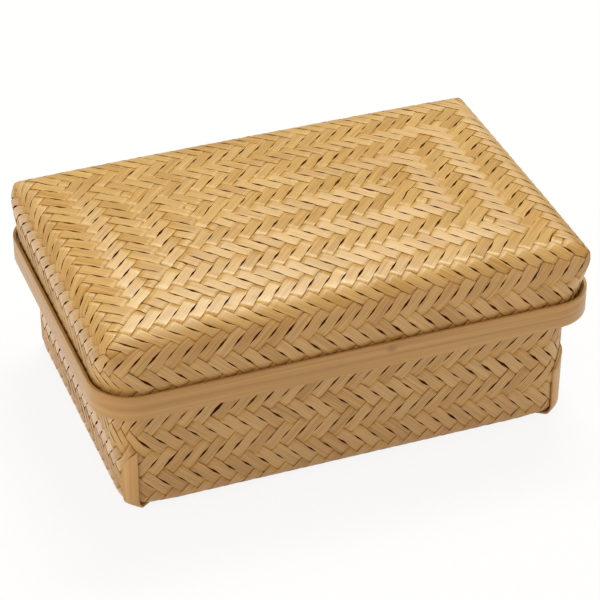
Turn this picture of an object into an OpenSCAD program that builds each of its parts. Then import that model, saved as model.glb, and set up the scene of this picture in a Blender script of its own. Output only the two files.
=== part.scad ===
// Woven bamboo lunch box: a twill-woven body with a lid that lifts straight off.
// The table is z = 0, the origin is under the middle of the box, and x runs along its length.

/* [Box] */
// Overall length, across the lid hoop
box_length = 200; // [170:1:240]
// Overall width, across the lid hoop
box_width = 133.6; // [115:0.2:160]
// Height above the table of the line where the lid's top and walls would meet if unrounded
lid_edge_height = 78; // [74:0.5:92]
// Rise of the lid's crown above that line
lid_crown = 5; // [2:0.5:8]

/* [Lid hoop] */
// Height of the bent band round the lid
hoop_height = 10.4; // [9:0.1:14]
// Thickness of the band
hoop_thickness = 1.8; // [1.2:0.1:2.6]
// Outer radius of the band's corners
hoop_corner = 17; // [14:0.5:20]
// Height of the band's lower edge above the table
hoop_level = 46.9; // [44:0.2:49]
// Chamfer along the edges of every band
band_chamfer = 0.3; // [0.2:0.05:0.35]

/* [Woven walls] */
// Thickness of the interlaced core behind the visible strips
core_thickness = 1; // [0.8:0.1:1.4]
// How much rounder the core's edges are than the strips folded over them
edge_relief = 1.7; // [1.5:0.1:2.2]
// How much rounder the core's corners are than the strips bent round them
corner_relief = 1; // [0.8:0.1:1.2]
// Radius of the lid's shoulder
shoulder_radius = 9; // [7:0.5:11]
// Plan radius of the lid's corners at its top edge
lid_top_corner = 4; // [4:0.5:8]
// How far each end of the lid leans out above its hoop
lid_end_flare = 1.2; // [0:0.1:1.5]
// Radius along the lower edge of the body
base_edge_radius = 3.25; // [3:0.25:6]
// Plan radius of the body's corners at its base
foot_corner = 9; // [6:0.5:11]
// Plan radius of the body's corners at its rim
body_corner = 14; // [11:0.5:15]
// How far each end of the body leans out from base to rim
body_end_lean = 3; // [0:0.5:5]
// How far the middle of the base is raised above its edge
base_hollow = 1.2; // [1:0.1:2.5]

/* [Strips] */
// Spacing of the lid's strips along an edge
lid_strip_step = 6.53; // [6:0.01:7.5]
// Spacing of the body's strips along an edge
body_strip_step = 6.3; // [6:0.01:7.5]
// Thickness of a strip
strip_thickness = 0.5; // [0.3:0.05:0.7]
// Gap between two strips side by side
strip_gap = 0.3; // [0.2:0.05:0.6]
// Gap between the core and the strips laid on it
lay_gap = 0.3; // [0.25:0.05:0.4]

/* [Inner bands] */
// Thickness of the lid's inner band
lid_band_thickness = 1; // [0.8:0.1:1.4]
// Height of the two bands at the body's rim
rim_band_height = 16; // [10:0.5:18]
// Thickness of the two bands at the body's rim
rim_band_thickness = 1; // [0.8:0.1:1.4]

/* [Braces] */
// Width of a brace strip under the base
brace_width = 6.5; // [5:0.5:8]
// Thickness of a brace strip
brace_thickness = 0.8; // [0.7:0.1:1.2]
// Height that a brace's ends reach up the corners
brace_rise = 25; // [16:0.5:32]
// Inner radius of a brace's bends
brace_bend = 3.5; // [2.5:0.25:4]

/* [Fits] */
// Gap between a band and the weave that it grips
band_gap = 0.1; // [0.05:0.05:0.2]
// Gap all round between the lid and the body's rim
lid_clearance = 0.6; // [0.4:0.1:1]
// Gap between the body's rim and the inside of the lid's shoulder
seat_gap = 0.4; // [0.3:0.05:0.6]
// Gap between the braces and the strips that they cross
brace_gap = 0.2; // [0.15:0.05:0.4]

/* [Hidden] */
$fn = 64;

STRAW = "#d9bb83";
GOLD = "#c9a15c";
TAN = "#bf9a63";
HOOP = "#b98f55";
PALE = "#d2b37c";

// Twill: each strip passes over this many strips, then under as many
float_cells = 3;
// The two leanings of a strip seen from outside, as its step to the right for each step up
RISING = 1;
FALLING = -1;

// Strips and the gap under them, outside the core
skin = lay_gap + strip_thickness;

// Lid: half sizes of the woven core, outside, and its half length inside the hoop
lid_rim_l = box_length/2 - hoop_thickness - band_gap - skin;
lid_l = lid_rim_l + lid_end_flare;
lid_w = box_width/2 - hoop_thickness - band_gap - skin;
lid_wall = lid_edge_height - hoop_level;
lid_wall_corner = hoop_corner - hoop_thickness - band_gap - skin;

// Lid's inner band, and the body's rim inside it
lid_band_l = lid_rim_l - core_thickness - band_gap;
lid_band_w = lid_w - core_thickness - band_gap;
lid_band_corner = lid_wall_corner - core_thickness - band_gap + corner_relief/2;
rim_l = lid_band_l - lid_band_thickness - lid_clearance;
rim_w = lid_band_w - lid_band_thickness - lid_clearance;
rim_corner = body_corner + rim_band_thickness + band_gap + skin;
// From the outside of the rim's outer band to the outside of its inner band
rim_inner_inset = rim_band_thickness + 2*band_gap + skin + core_thickness;

// Height at which the rim meets the inside of the lid's shoulder
inner_shoulder = shoulder_radius + edge_relief - core_thickness;
rim_inset = lid_rim_l - core_thickness - rim_l;
shoulder_drop = inner_shoulder - sqrt(pow(inner_shoulder, 2) - pow(inner_shoulder - rim_inset, 2));
rim_top = lid_edge_height - core_thickness - shoulder_drop - seat_gap;
rim_bottom = rim_top - rim_band_height;

// Body: half sizes of the woven core at the base, outside
base_level = brace_thickness + brace_gap + skin;
body_w = rim_w - rim_band_thickness - band_gap - skin;
body_l = rim_l - rim_band_thickness - band_gap - skin - body_end_lean;
body_wall = rim_top - base_level;

// Fields of a sheet, which is a woven tray folded over the edge of a box
HALF = 0;    // half length and half width of its core, outside
COUNT = 1;   // strips on half its length and on half its width
EDGE = 2;    // radius of its edge
CORNER = 3;  // plan radius of its corners at the edge and on the wall
DEPTH = 4;   // depth of its wall
SHAPED = 5;  // depth at which its corners and ends have taken the wall's final shape
LEVEL = 6;   // height of its unrounded edge
UP = 7;      // 1 where its wall rises from the edge, -1 where it hangs
BULGE = 8;   // rise of the middle of its flat part
LEAN = 9;    // how far the ends of its wall lean out from the edge

function counts(l, w, step) = [round(2*l/step), round(2*w/step)];
LID = [[lid_l, lid_w], counts(lid_l, lid_w, lid_strip_step), shoulder_radius,
       [lid_top_corner, lid_wall_corner], lid_wall, lid_wall - hoop_height, lid_edge_height, -1, lid_crown,
       -lid_end_flare];
BODY = [[body_l, body_w], counts(body_l, body_w, body_strip_step), base_edge_radius,
        [foot_corner, body_corner], body_wall, rim_bottom - base_level, base_level, 1, base_hollow,
        body_end_lean];

// Sides are numbered front, right, back, left; a side's own axes run along it and outward
function half_along(s, k) = s[HALF][k%2];
function half_across(s, k) = s[HALF][(k + 1)%2];
function strips_along(s, k) = s[COUNT][k%2];
function strips_across(s, k) = s[COUNT][(k + 1)%2];
function turned(k, p, q) = [[p, -q], [q, p], [-p, q], [-q, -p]][k%4];

// Point of a rounded rectangle that lies across from the point p of its sharp side k
function around(k, p, a, b, r) =
    p > a ? around(k + 1, p - a - b, b, a, r) :
    p < -a ? around(k + 3, p + a + b, b, a, r) :
    abs(p) <= a - r ? turned(k, p, b) :
    let (f = atan((abs(p) - a + r)/r))
    turned(k, sign(p)*(a - r + r*sin(f)), b - r + r*cos(f));

// Inset and drop of a rounded edge of radius r, at the distance v past the sharp edge
function rounded_edge(v, r) =
    abs(v) >= r ? [max(-v, 0), max(v, 0)] :
    let (o = r + min(v, 0), d = r - max(v, 0), n = norm([o, d]))
    [r - r*o/n, r - r*d/n];

// Plan radius of a sheet's corners at the distance v past its edge, before the edge's own inset
function plan_radius(s, v) =
    let (top = s[CORNER][0], wall = s[CORNER][1])
    top + (wall - top)*max(0, min(1, v/s[SHAPED]));

// Bulge of the flat part and lean of the ends
function bulged(s, x, y, z) =
    let (l = s[HALF][0], w = s[HALF][1],
         f = max(0, 1 - pow(x/l, 4))*max(0, 1 - pow(y/w, 2)),
         climb = max(0, min(1, s[UP]*(z - s[LEVEL])/s[SHAPED])),
         share = max(-1, min(1, x/(l - s[CORNER][1]))))
    [x + s[LEAN]*climb*share, y, z + s[BULGE]*f];

// Point of the box that lies h off a sheet's core, measured from that box's own edges
function on_skin(s, k, p, v, h) =
    let (a = half_along(s, k) + h, b = half_across(s, k) + h, right = p > 0)
    v < 0 && a - abs(p) < -v ? on_skin(s, right ? k + 1 : k + 3, (right ? -1 : 1)*(b + v), abs(p) - a, h) :
    let (e = rounded_edge(v, s[EDGE] + h),
         r = max(0, plan_radius(s, v) + h - e[0]),
         q = around(k, p*(a - e[0])/(a - max(-v, 0)), a - e[0], b - e[0], r))
    bulged(s, q.x, q.y, s[LEVEL] + s[UP]*(e[1] - h));

// Point h off a sheet's core: p along side k, v past the edge (flat part negative, wall positive)
function on_sheet(s, k, p, v, h) =
    let (past = max(-1, min(1, v/s[EDGE])))
    on_skin(s, k, p*(1 + min(1, past + 1)*h/half_along(s, k)), v + past*h, h);

// One ring of a sheet's core at the distance v past its edge, h off the outside
ring_places = [2, 1];
least_ring_corner = 2;
function ring_side(a, r, n) =
    [-a, for (t = [30, 15]) -a + r*(1 - tan(t)), for (i = [0:n + 1]) (a - r)*(2*i/(n + 1) - 1),
     for (t = [15, 30]) a - r*(1 - tan(t))];
function ring(s, v, h) =
    let (e = rounded_edge(v, s[EDGE] + edge_relief + h),
         r = max(plan_radius(s, v) + (h == 0 ? corner_relief : h) - e[0], least_ring_corner),
         z = s[LEVEL] + s[UP]*(e[1] - h))
    [for (k = [0:3])
        let (a = half_along(s, k) + h - e[0], b = half_across(s, k) + h - e[0])
        each [for (p = ring_side(a, r, ring_places[k%2]))
            let (q = around(k, p, a, b, r)) bulged(s, q.x, q.y, z)]];

// Closed shell through a row of rings, with a pole at each end; the first pole is outside
module shell(rings, poles, up) {
    n = len(rings[0]);
    m = len(rings);
    points = [poles[0], for (r = rings) each r, poles[1]];
    last = len(points) - 1;
    faces = [
        for (i = [0:n - 1]) [0, 1 + i, 1 + (i + 1)%n],
        for (j = [0:m - 2]) for (i = [0:n - 1]) let (a = 1 + j*n + i, b = 1 + j*n + (i + 1)%n)
            each [[a, a + n, b], [b, a + n, b + n]],
        for (i = [0:n - 1]) [last, last - n + (i + 1)%n, last - n + i]
    ];
    polyhedron(points, [for (f = faces) up > 0 ? f : [f[2], f[1], f[0]]]);
}

// Distances past the edge of the rings from the middle of the flat part to the end of the rounding
flat_shares = [0.8, 0.4];
function flat_rings(s, h) =
    let (r = s[EDGE] + edge_relief + h)
    [for (f = flat_shares) -s[HALF][1]*f, for (a = [0, 22.5, 45]) -r*(1 - tan(a)),
     for (a = [22.5, 0]) r*(1 - tan(a))];

// Core of a sheet, thickened to the strips' outer face past its last row of strips
rim_step = 0.5;
module woven_shell(s, rows) {
    thick_from = (rows + 1)*row_step(s, 0, 1);
    middle = s[LEVEL] + s[BULGE];
    outer = [for (v = [each flat_rings(s, 0), s[SHAPED], thick_from]) ring(s, v, 0),
             ring(s, thick_from + rim_step + skin, skin),
             ring(s, s[DEPTH] + skin, skin)];
    inner = [for (v = [each flat_rings(s, -core_thickness), s[SHAPED] - core_thickness, s[DEPTH] - core_thickness])
                 ring(s, v, -core_thickness)];
    shell([each outer, for (i = [len(inner) - 1:-1:0]) inner[i]],
          [[0, 0, middle], [0, 0, middle + s[UP]*core_thickness]], s[UP]);
}

// Cells are where two strips cross: c counts along side k, n counts past the edge
function flat_zone(s, k, c, n) =
    abs(c) <= strips_along(s, k) + n && -n <= strips_across(s, k) - (k == 2 ? 1 : 0);
function is_cell(s, k, c, n, rows) =
    n >= rows[0] && n <= rows[1] && abs(c + n + strips_along(s, k))%2 == 1 &&
    (n > 0 || flat_zone(s, k, c, n));
function in_band(n, start) = floor((n - start)/float_cells)%2 == 0;

// The lid's bands follow its long sides through the middle and its short sides at the two ends
function lid_rises(k, n) =
    let (l = LID[COUNT][0], w = LID[COUNT][1])
    n > 0 ? in_band(n, 1) :
    k%2 == 0 ? !in_band(k == 2 ? 2*w + n : -n, 0) : !in_band(k == 1 ? 2*l + n : -n, 0);
// The body's bands follow its base all round, the first one folded over the edge
body_first_row = -1;
function body_rises(n) = in_band(n, body_first_row);
function shows(s, k, n, f) = (s[UP] < 0 ? lid_rises(k, n) : body_rises(n)) == (f == RISING);

// Cells that a strip passes over in one float, from the cell where the float starts
function run(s, k, c, n, f, rows) =
    is_cell(s, k, c, n, rows) && shows(s, k, n, f) ? 1 + run(s, k, c + f*s[UP], n + 1, f, rows) : 0;

// Fields of a float: its side, the cell where it starts, its step along the side, its length in cells
SIDE = 0;
ALONG = 1;
ROW = 2;
STEP = 3;
CELLS = 4;
function floats(s, f, rows) = [
    for (k = [0:3]) for (n = [rows[0]:rows[1]]) for (c = [1 - strips_along(s, k):strips_along(s, k)])
        let (cells = run(s, k, c, n, f, rows))
        if (cells > 0 && run_before(s, k, c, n, f, rows) == 0) [k, c, n, f*s[UP], cells]];
// Cells from the one before; a strip that comes down over a corner has it on the next side
function run_before(s, k, c, n, f, rows) =
    let (next = (k + 1)%4)
    n == 1 && c == strips_along(s, k) && f*s[UP] < 0 ?
        run(s, next, 1 - strips_along(s, next), 0, f, rows) :
        run(s, k, c - f*s[UP], n - 1, f, rows);

// Place on a float: along it from 0 to 1, across it from -1 to 1, h off the core
function column_step(s, k) = half_along(s, k)/strips_along(s, k);
function row_step(s, k, n) =
    n < 0 ? half_across(s, k)/strips_across(s, k) : (column_step(s, 0) + column_step(s, 1))/2;
function on_float(s, d, along, across, h) =
    let (k = d[SIDE], step = column_step(s, k),
         slack = strip_gap/(2*step*sqrt(2)),
         u = -0.5 + slack + along*(d[CELLS] - 2*slack),
         w = across*(0.5 - slack),
         c = d[ALONG] + d[STEP]*u + w, n = d[ROW] + u - d[STEP]*w)
    on_sheet(s, k, c*step, n*row_step(s, k, n), h);

// A float is bent where its middle lies near the edge, or where it reaches into the turn of a corner
function is_bent(s, d) =
    let (step = column_step(s, d[SIDE]), past = d[CELLS] - 1,
         reach = max(abs(d[ALONG]), abs(d[ALONG] + d[STEP]*past)) + 0.5)
    abs(d[ROW] + past/2)*step < s[EDGE] + step ||
    (d[ROW] > 0 && (strips_along(s, d[SIDE]) - reach)*step < plan_radius(s, (d[ROW] + past)*step));

// A float on a flat part: a straight piece of strip
function unit(v) = v/norm(v);
module straight_float(s, d) {
    h = lay_gap + strip_thickness/2;
    start = on_float(s, d, 0, 0, h);
    end = on_float(s, d, 1, 0, h);
    width = on_float(s, d, 0.5, 1, h) - on_float(s, d, 0.5, -1, h);
    x = unit(end - start);
    z = unit(cross(x, width));
    y = cross(z, x);
    o = (start + end)/2;
    multmatrix([[x.x, y.x, z.x, o.x], [x.y, y.y, z.y, o.y], [x.z, y.z, z.z, o.z], [0, 0, 0, 1]])
        cube([norm(end - start), norm(width), strip_thickness], center = true);
}

// Floats that turn over an edge or round a corner: strips bent in one straight piece a cell
strip_section = [[-1, 0], [1, 0], [1, 1], [-1, 1]];
function bent_points(s, d) = [
    for (i = [0:d[CELLS]]) for (q = strip_section)
        on_float(s, d, i/d[CELLS], q[0], lay_gap + q[1]*strip_thickness)];
function bent_faces(o, pieces) =
    let (e = o + 4*pieces)
    [[o, o + 1, o + 2, o + 3], [e + 3, e + 2, e + 1, e],
     for (i = [0:pieces - 1]) for (j = [0:3]) let (a = o + 4*i + j, b = o + 4*i + (j + 1)%4)
        each [[a, a + 4, b], [b, a + 4, b + 4]]];
module bent_floats(s, list) {
    starts = [for (i = 0, o = 0; i < len(list); o = o + 4*(list[i][CELLS] + 1), i = i + 1) o];
    faces = [for (i = [0:len(list) - 1]) each bent_faces(starts[i], list[i][CELLS])];
    polyhedron([for (d = list) each bent_points(s, d)],
               [for (f = faces) s[UP] > 0 ? [for (i = [len(f) - 1:-1:0]) f[i]] : f]);
}

module strips(s, f, rows) {
    list = floats(s, f, rows);
    for (d = list) if (!is_bent(s, d)) straight_float(s, d);
    bent_floats(s, [for (d = list) if (is_bent(s, d)) d]);
}

// Rows of strips, from the first to the one whose outer half slips behind a band
function last_row(s) = ceil(s[SHAPED]/row_step(s, 0, 1) - 0.5);
lid_rows = [-LID[COUNT][1], last_row(LID)];
body_rows = [body_first_row, last_row(BODY)];

// A bent band: half sizes and corner radius outside, thickness, height
module band_profile(t, h) {
    e = band_chamfer;
    polygon([[e - t, 0], [-e, 0], [0, e], [0, h - e], [-e, h], [e - t, h], [-t, h - e], [-t, e]]);
}
module band(l, w, r, t, h) {
    for (x = [-1, 1]) for (y = [-1, 1])
        translate([x*(l - r), y*(w - r), 0]) rotate(x > 0 ? (y > 0 ? 0 : 270) : (y > 0 ? 90 : 180))
            rotate_extrude(angle = 90) translate([r, 0]) band_profile(t, h);
    for (turn = [0, 180]) rotate(turn) translate([l - r, w, 0]) rotate([90, 0, -90])
        linear_extrude(2*(l - r)) mirror([1, 0]) band_profile(t, h);
    for (turn = [0, 180]) rotate(turn) translate([l, r - w, 0]) rotate([90, 0, 180]) mirror([1, 0, 0])
        linear_extrude(2*(w - r)) band_profile(t, h);
}

// Corner to corner: direction of the braces, how far a corner of radius r falls short of a sharp one that way,
// where the braces' ends start to rise, and their lean along the corners
brace_turn = atan(body_w/body_l);
brace_foot = brace_thickness + brace_bend;
function brace_short(r) = r*(cos(brace_turn) + sin(brace_turn) - 1);
brace_slope = (body_end_lean*cos(brace_turn) - brace_short(body_corner) + brace_short(foot_corner))/BODY[SHAPED];
brace_end = body_l*cos(brace_turn) + body_w*sin(brace_turn) - brace_short(foot_corner)
            + skin + brace_gap + max(0, brace_slope*(brace_rise - base_level));
brace_lean = min(0, brace_slope*(brace_rise - brace_foot));
// Half length of the crossing of the two braces, and the length of a ramp for each unit that it climbs
brace_crossing = brace_width/2/tan(brace_turn) + brace_gap;
brace_ramp = 8;

// Side view of a brace filled in between its ends
module brace_outline(end, bend, low) {
    polygon([[-end, brace_foot], [end, brace_foot], [end + brace_lean, brace_rise],
             [-end - brace_lean, brace_rise]]);
    translate([bend - end, low]) square([2*(end - bend), 2*bend]);
    for (x = [-1, 1]) translate([x*(end - bend), low + bend]) circle(bend);
}
// What a brace passes over at the crossing, up to its underside or its upper side
module brace_hump(hop, low) {
    foot = brace_crossing + brace_ramp*hop;
    polygon([[-foot, -hop], [-foot, low], [-brace_crossing, low + hop], [brace_crossing, low + hop],
             [foot, low], [foot, -hop]]);
}
module brace_side(hop) {
    difference() {
        brace_outline(brace_end + brace_thickness, brace_bend + brace_thickness, 0);
        difference() {
            brace_outline(brace_end, brace_bend, brace_thickness);
            if (hop > 0) brace_hump(hop, brace_thickness);
        }
        if (hop > 0) brace_hump(hop, 0);
    }
}
module brace(turn, hop) {
    rotate(turn) rotate([90, 0, 0]) linear_extrude(brace_width, center = true) brace_side(hop);
}

module body_weave() { color(STRAW) woven_shell(BODY, body_rows[1]); }
module body_rising_strips() { color(GOLD) strips(BODY, RISING, body_rows); }
module body_falling_strips() { color(TAN) strips(BODY, FALLING, body_rows); }
module body_rim_hoop() {
    color(HOOP) translate([0, 0, rim_bottom])
        band(rim_l, rim_w, rim_corner, rim_band_thickness, rim_band_height);
}
module body_inner_hoop() {
    inset = rim_inner_inset;
    color(PALE) translate([0, 0, rim_bottom])
        band(rim_l - inset, rim_w - inset, rim_corner - inset + corner_relief/2, rim_band_thickness,
             rim_band_height);
}
module lower_brace() { color(PALE) brace(brace_turn, 0); }
module upper_brace() { color(PALE) brace(-brace_turn, brace_thickness + brace_gap); }
module lid_weave() { color(STRAW) woven_shell(LID, lid_rows[1]); }
module lid_rising_strips() { color(GOLD) strips(LID, RISING, lid_rows); }
module lid_falling_strips() { color(TAN) strips(LID, FALLING, lid_rows); }
module lid_hoop() {
    color(HOOP) translate([0, 0, hoop_level])
        band(box_length/2, box_width/2, hoop_corner, hoop_thickness, hoop_height);
}
module lid_inner_hoop() {
    color(PALE) translate([0, 0, hoop_level])
        band(lid_band_l, lid_band_w, lid_band_corner, lid_band_thickness, hoop_height);
}

body_weave();
body_rising_strips();
body_falling_strips();
body_rim_hoop();
body_inner_hoop();
lower_brace();
upper_brace();
lid_weave();
lid_rising_strips();
lid_falling_strips();
lid_hoop();
lid_inner_hoop();
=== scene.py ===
# %% [markdown]
# # A bamboo lunch box, woven strip by strip
# The box is a tray and a lid, each woven from split bamboo strips that cross at 45 degrees to its edges.
# Bent bamboo hoops stiffen the rims, and two brace strips cross under the base.
# The CAD frame gives the size and place of every node, so this file only dresses it: it weaves the
# strips, bends the hoops and braces with soft edges, and gives each surface the look of real bamboo.

# %% Load the frame
import math
import random
from types import SimpleNamespace

import bmesh
import bpy
import numpy as np
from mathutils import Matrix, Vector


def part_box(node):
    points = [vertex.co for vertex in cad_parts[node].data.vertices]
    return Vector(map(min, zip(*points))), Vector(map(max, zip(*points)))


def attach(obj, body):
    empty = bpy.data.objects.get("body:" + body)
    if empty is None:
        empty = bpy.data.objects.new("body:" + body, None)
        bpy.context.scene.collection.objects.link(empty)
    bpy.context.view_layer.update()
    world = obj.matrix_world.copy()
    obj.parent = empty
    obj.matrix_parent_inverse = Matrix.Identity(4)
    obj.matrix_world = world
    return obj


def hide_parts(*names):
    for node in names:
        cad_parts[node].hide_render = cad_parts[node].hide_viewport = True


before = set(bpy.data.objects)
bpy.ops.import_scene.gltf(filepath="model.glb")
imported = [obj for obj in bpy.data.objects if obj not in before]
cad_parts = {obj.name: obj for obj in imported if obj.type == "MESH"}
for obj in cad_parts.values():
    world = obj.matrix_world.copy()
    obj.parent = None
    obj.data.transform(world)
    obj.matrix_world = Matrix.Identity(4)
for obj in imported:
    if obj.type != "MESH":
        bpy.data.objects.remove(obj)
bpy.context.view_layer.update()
MM = 0.001

# %% [markdown]
# ## Camera
# The photograph was taken with a long lens from the front left, looking down by a little more than a
# third of a right angle. A long lens keeps the box's edges nearly parallel, so the camera stands a
# metre away. The small shifts put the box where it lies in the picture.

# %% Set the camera
VIEW_AZIMUTH = math.radians(-20.44)
VIEW_ELEVATION = math.radians(34.03)
VIEW_DISTANCE = 1013.3 * MM
VIEW_TARGET = np.array([0, 0, 48.95]) * MM
FOCAL_PIXELS = 2579.5
IMAGE_PIXELS = 600
OPTICAL_CENTRE = (295.7, 274.4)

back = np.array([math.sin(VIEW_AZIMUTH) * math.cos(VIEW_ELEVATION),
                 -math.cos(VIEW_AZIMUTH) * math.cos(VIEW_ELEVATION),
                 math.sin(VIEW_ELEVATION)])
lens = bpy.data.cameras.new("camera")
lens.sensor_width = 36
lens.lens = lens.sensor_width * FOCAL_PIXELS / IMAGE_PIXELS
lens.shift_x = 0.5 - OPTICAL_CENTRE[0] / IMAGE_PIXELS
lens.shift_y = OPTICAL_CENTRE[1] / IMAGE_PIXELS - 0.5
camera = bpy.data.objects.new("camera", lens)
camera.location = VIEW_TARGET + VIEW_DISTANCE * back
camera.rotation_euler = (math.pi / 2 - VIEW_ELEVATION, 0, VIEW_AZIMUTH)
bpy.context.scene.collection.objects.link(camera)
bpy.context.scene.camera = camera
print("camera at", [round(v, 3) for v in camera.location])

# %% [markdown]
# ## Sizes from the frame
# All weaving is worked out in millimetres and turned to metres at the end. The woven sheets follow
# the same rules as the CAD model: a box with rounded edges, a crowned lid and slightly leaning ends.
# What a node's box can't tell, such as the crown and the lean, is repeated here.

# %% Read the sizes
def node_box(name):
    """Lowest and highest corner of a CAD node in millimetres."""
    low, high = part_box(name)
    return np.array(low) / MM, np.array(high) / MM


SKIN = 0.8              # how far the outer faces of the strips stand off the sheet's reference face
LID_CROWN = 5.0
LID_FLARE = 1.2         # how far the lid's ends lean out above the hoop
END_LEAN = 3.0          # how far the body's ends lean out towards the rim
BASE_RISE = 1.2         # how far the middle of the base rises over the crossing of the braces
BASE_SAG = 0.9          # how far the base hangs down to the table beside the braces
BRACE_GAP = 0.2
BRACE_THICKNESS = 0.8
BRACE_WIDTH = 6.5

hoop_low, hoop_high = node_box("lid_hoop")
lid_high = node_box("lid_weave")[1]
body_high = node_box("body_weave")[1]
rim_low, rim_high = node_box("body_rim_hoop")
base_level = BRACE_THICKNESS + BRACE_GAP + SKIN
lid_half = lid_high[:2] - SKIN + np.array([LID_FLARE, 0])
lid_edge = lid_high[2] - LID_CROWN
body_half = body_high[:2] - SKIN - np.array([END_LEAN, 0])
print("lid edge at", round(lid_edge, 2), "mm, base at", round(base_level, 2), "mm")


# %% Describe the two woven sheets
def sheet(half, step, **more):
    """A woven sheet folded over the edge of a box; half its size, and the spacing of its strips.

    edge is the radius of that fold, and corner the upright corner's radius at the edge and at the rim.
    depth is the height of the walls, and shaped the part of it that no hoop covers.
    """
    count = np.round(2 * half / step).astype(int)
    return SimpleNamespace(half=half, count=count, across=half / count,
                           row=float(np.mean(half / count)), **more)


LID = sheet(lid_half, step=6.53, edge=9.0, corner=(4.0, 16.0),
            depth=lid_edge - hoop_low[2], shaped=lid_edge - hoop_high[2], level=lid_edge, up=-1,
            bulge=LID_CROWN, sag=0.0, lean=-LID_FLARE)
BODY = sheet(body_half, step=6.3, edge=3.25, corner=(9.0, 14.0),
             depth=rim_high[2] - base_level, shaped=rim_low[2] - base_level, level=base_level, up=1,
             bulge=BASE_RISE, sag=BASE_SAG, lean=END_LEAN)
for name, s in (("lid", LID), ("body", BODY)):
    print(name, "half size", s.half.round(2), "strips on half a side", s.count, "wall", round(s.depth, 2))

# %% [markdown]
# ## The woven surface
# A point of the weave is named by its side of the box, its place along that side, its distance past
# the edge and its height off the sheet. This function bends those four numbers over the rounded
# edges and corners. It works on whole arrays at once, so thousands of points take hardly longer than one.

# %% Map the weave onto the box
TINY = 1e-6             # keeps the radius of a fold above zero


def turned(k, p, q):
    """Plan point at p along side k and q outward; sides are front, right, back, left."""
    x = np.choose(k, [p, q, -p, -q])
    y = np.choose(k, [-q, p, q, -p])
    return x, y


def on_sheet(s, k, p, v, h):
    """Points h off a sheet: p along side k, v past its edge (flat part negative, wall positive)."""
    k = np.asarray(k) % 4
    # A point of the flat part belongs to the side that is nearest
    x, y = turned(k, p, s.half[1 - k % 2] + v)
    to_x, to_y = s.half[0] - np.abs(x), s.half[1] - np.abs(y)
    side = np.where(to_x < to_y, np.where(x > 0, 1, 3), np.where(y < 0, 0, 2))
    flat = v < 0
    k = np.where(flat, side, k)
    p = np.where(flat, np.choose(k, [x, y, -x, -y]), p)
    v = np.where(flat, -np.minimum(to_x, to_y), v)
    a, b = s.half[k % 2], s.half[1 - k % 2]
    # Off the sheet the box grows by h on every side
    past = np.clip(v / s.edge, -1, 1)
    p = p * (1 + np.minimum(1, past + 1) * h / a)
    v = v + past * h
    a, b, r = a + h, b + h, s.edge + h
    out, down = r + np.minimum(v, 0), r - np.maximum(v, 0)
    n = np.hypot(out, down)
    bent = np.abs(v) < r
    inset = np.where(bent, r - r * out / n, np.maximum(-v, 0))
    drop = np.where(bent, r - r * down / n, np.maximum(v, 0))
    top, wall = s.corner
    r = np.maximum(TINY, top + (wall - top) * np.clip(v / s.shaped, 0, 1) + h - inset)
    p = p * (a - inset) / (a - np.maximum(-v, 0))
    a, b = a - inset, b - inset
    # Past the end of a side the point goes round the corner to the next one
    beyond = np.where(p > a, 1, np.where(p < -a, -1, 0))
    p = p - beyond * (a + b)
    k = (k + beyond) % 4
    a, b = np.where(beyond != 0, b, a), np.where(beyond != 0, a, b)
    turn = np.arctan(np.maximum(0, np.abs(p) - a + r) / r)
    along = np.where(np.abs(p) <= a - r, p, np.sign(p) * (a - r + r * np.sin(turn)))
    outward = np.where(np.abs(p) <= a - r, b, b - r + r * np.cos(turn))
    x, y = turned(k, along, outward)
    z = s.level + s.up * (drop - h)
    # The crown is full in the middle and fades out at the edges
    crown = np.maximum(0, 1 - (x / s.half[0])**4) * np.maximum(0, 1 - (y / s.half[1])**2)
    climb = np.clip(s.up * (z - s.level) / s.shaped, 0, 1)
    share = np.clip(x / (s.half[0] - wall), -1, 1)
    # Between the braces that cross under it, the base hangs down to the table
    l, w = s.half
    from_brace = np.abs(np.abs(x) * w - np.abs(y) * l) / math.hypot(l, w)
    beside = np.clip((from_brace - BRACE_WIDTH / 2) / BRACE_WIDTH, 0, 1)
    hang = s.sag * beside * np.maximum(0, 1 - 2 * climb)
    return np.stack([x + s.lean * climb * share, y, z + s.bulge * crown - hang], axis=-1)


lid_middle = on_sheet(LID, np.array([0]), np.array([0.0]), np.array([-lid_half[1]]), np.array([SKIN]))
print("lid's middle top in mm:", lid_middle[0].round(2))

# %% [markdown]
# ## Which strip lies on top
# The weave is a twill: each strip passes over three others and then under three. Rows of cells are
# counted from the edge. On the lid the bands follow its long sides through the middle and its short
# sides at the ends, which gives the nested rectangles of the photograph. On the body they go round.

# %% Twill rules
FLOAT_CELLS = 3
BODY_FIRST_ROW = -1
TUCK_ROW = 8            # row where the strip that holds a brace's end stays on top for one cell more


def in_band(n, start):
    """True for the rows of every second band, counted from this row."""
    return (n - start) // FLOAT_CELLS % 2 == 0


def rises(s, k, n):
    """True where the strip that leans to the right, seen from outside, lies on top."""
    if s is BODY:
        return in_band(n, BODY_FIRST_ROW)
    if n > 0:
        return in_band(n, 1)
    far = 2 * s.count[0] if k % 2 else 2 * s.count[1]
    return not in_band(far + n if k in (1, 2) else -n, 0)


def is_tuck(s, k, c, n):
    """True for the cell just past each corner where a strip ends its way over a brace."""
    return s is BODY and n == TUCK_ROW and c == 1 - s.count[k % 2]


def over(s, k, c, n, step):
    """True where a strip with this step along side k for each row lies outside."""
    along, following = s.count[k % 2], s.count[(k + 1) % 2]
    if n > 0 and c > along:
        k, c = (k + 1) % 4, c - along - following
    elif n > 0 and c <= -along:
        k, c = (k + 3) % 4, c + along + following
    rising = step * s.up > 0
    if is_tuck(s, k, c, n):
        return rising
    return rises(s, k, n) == rising


print("lid rows down the front, / on top:", [n for n in range(-8, 8) if rises(LID, 0, n)])

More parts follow.
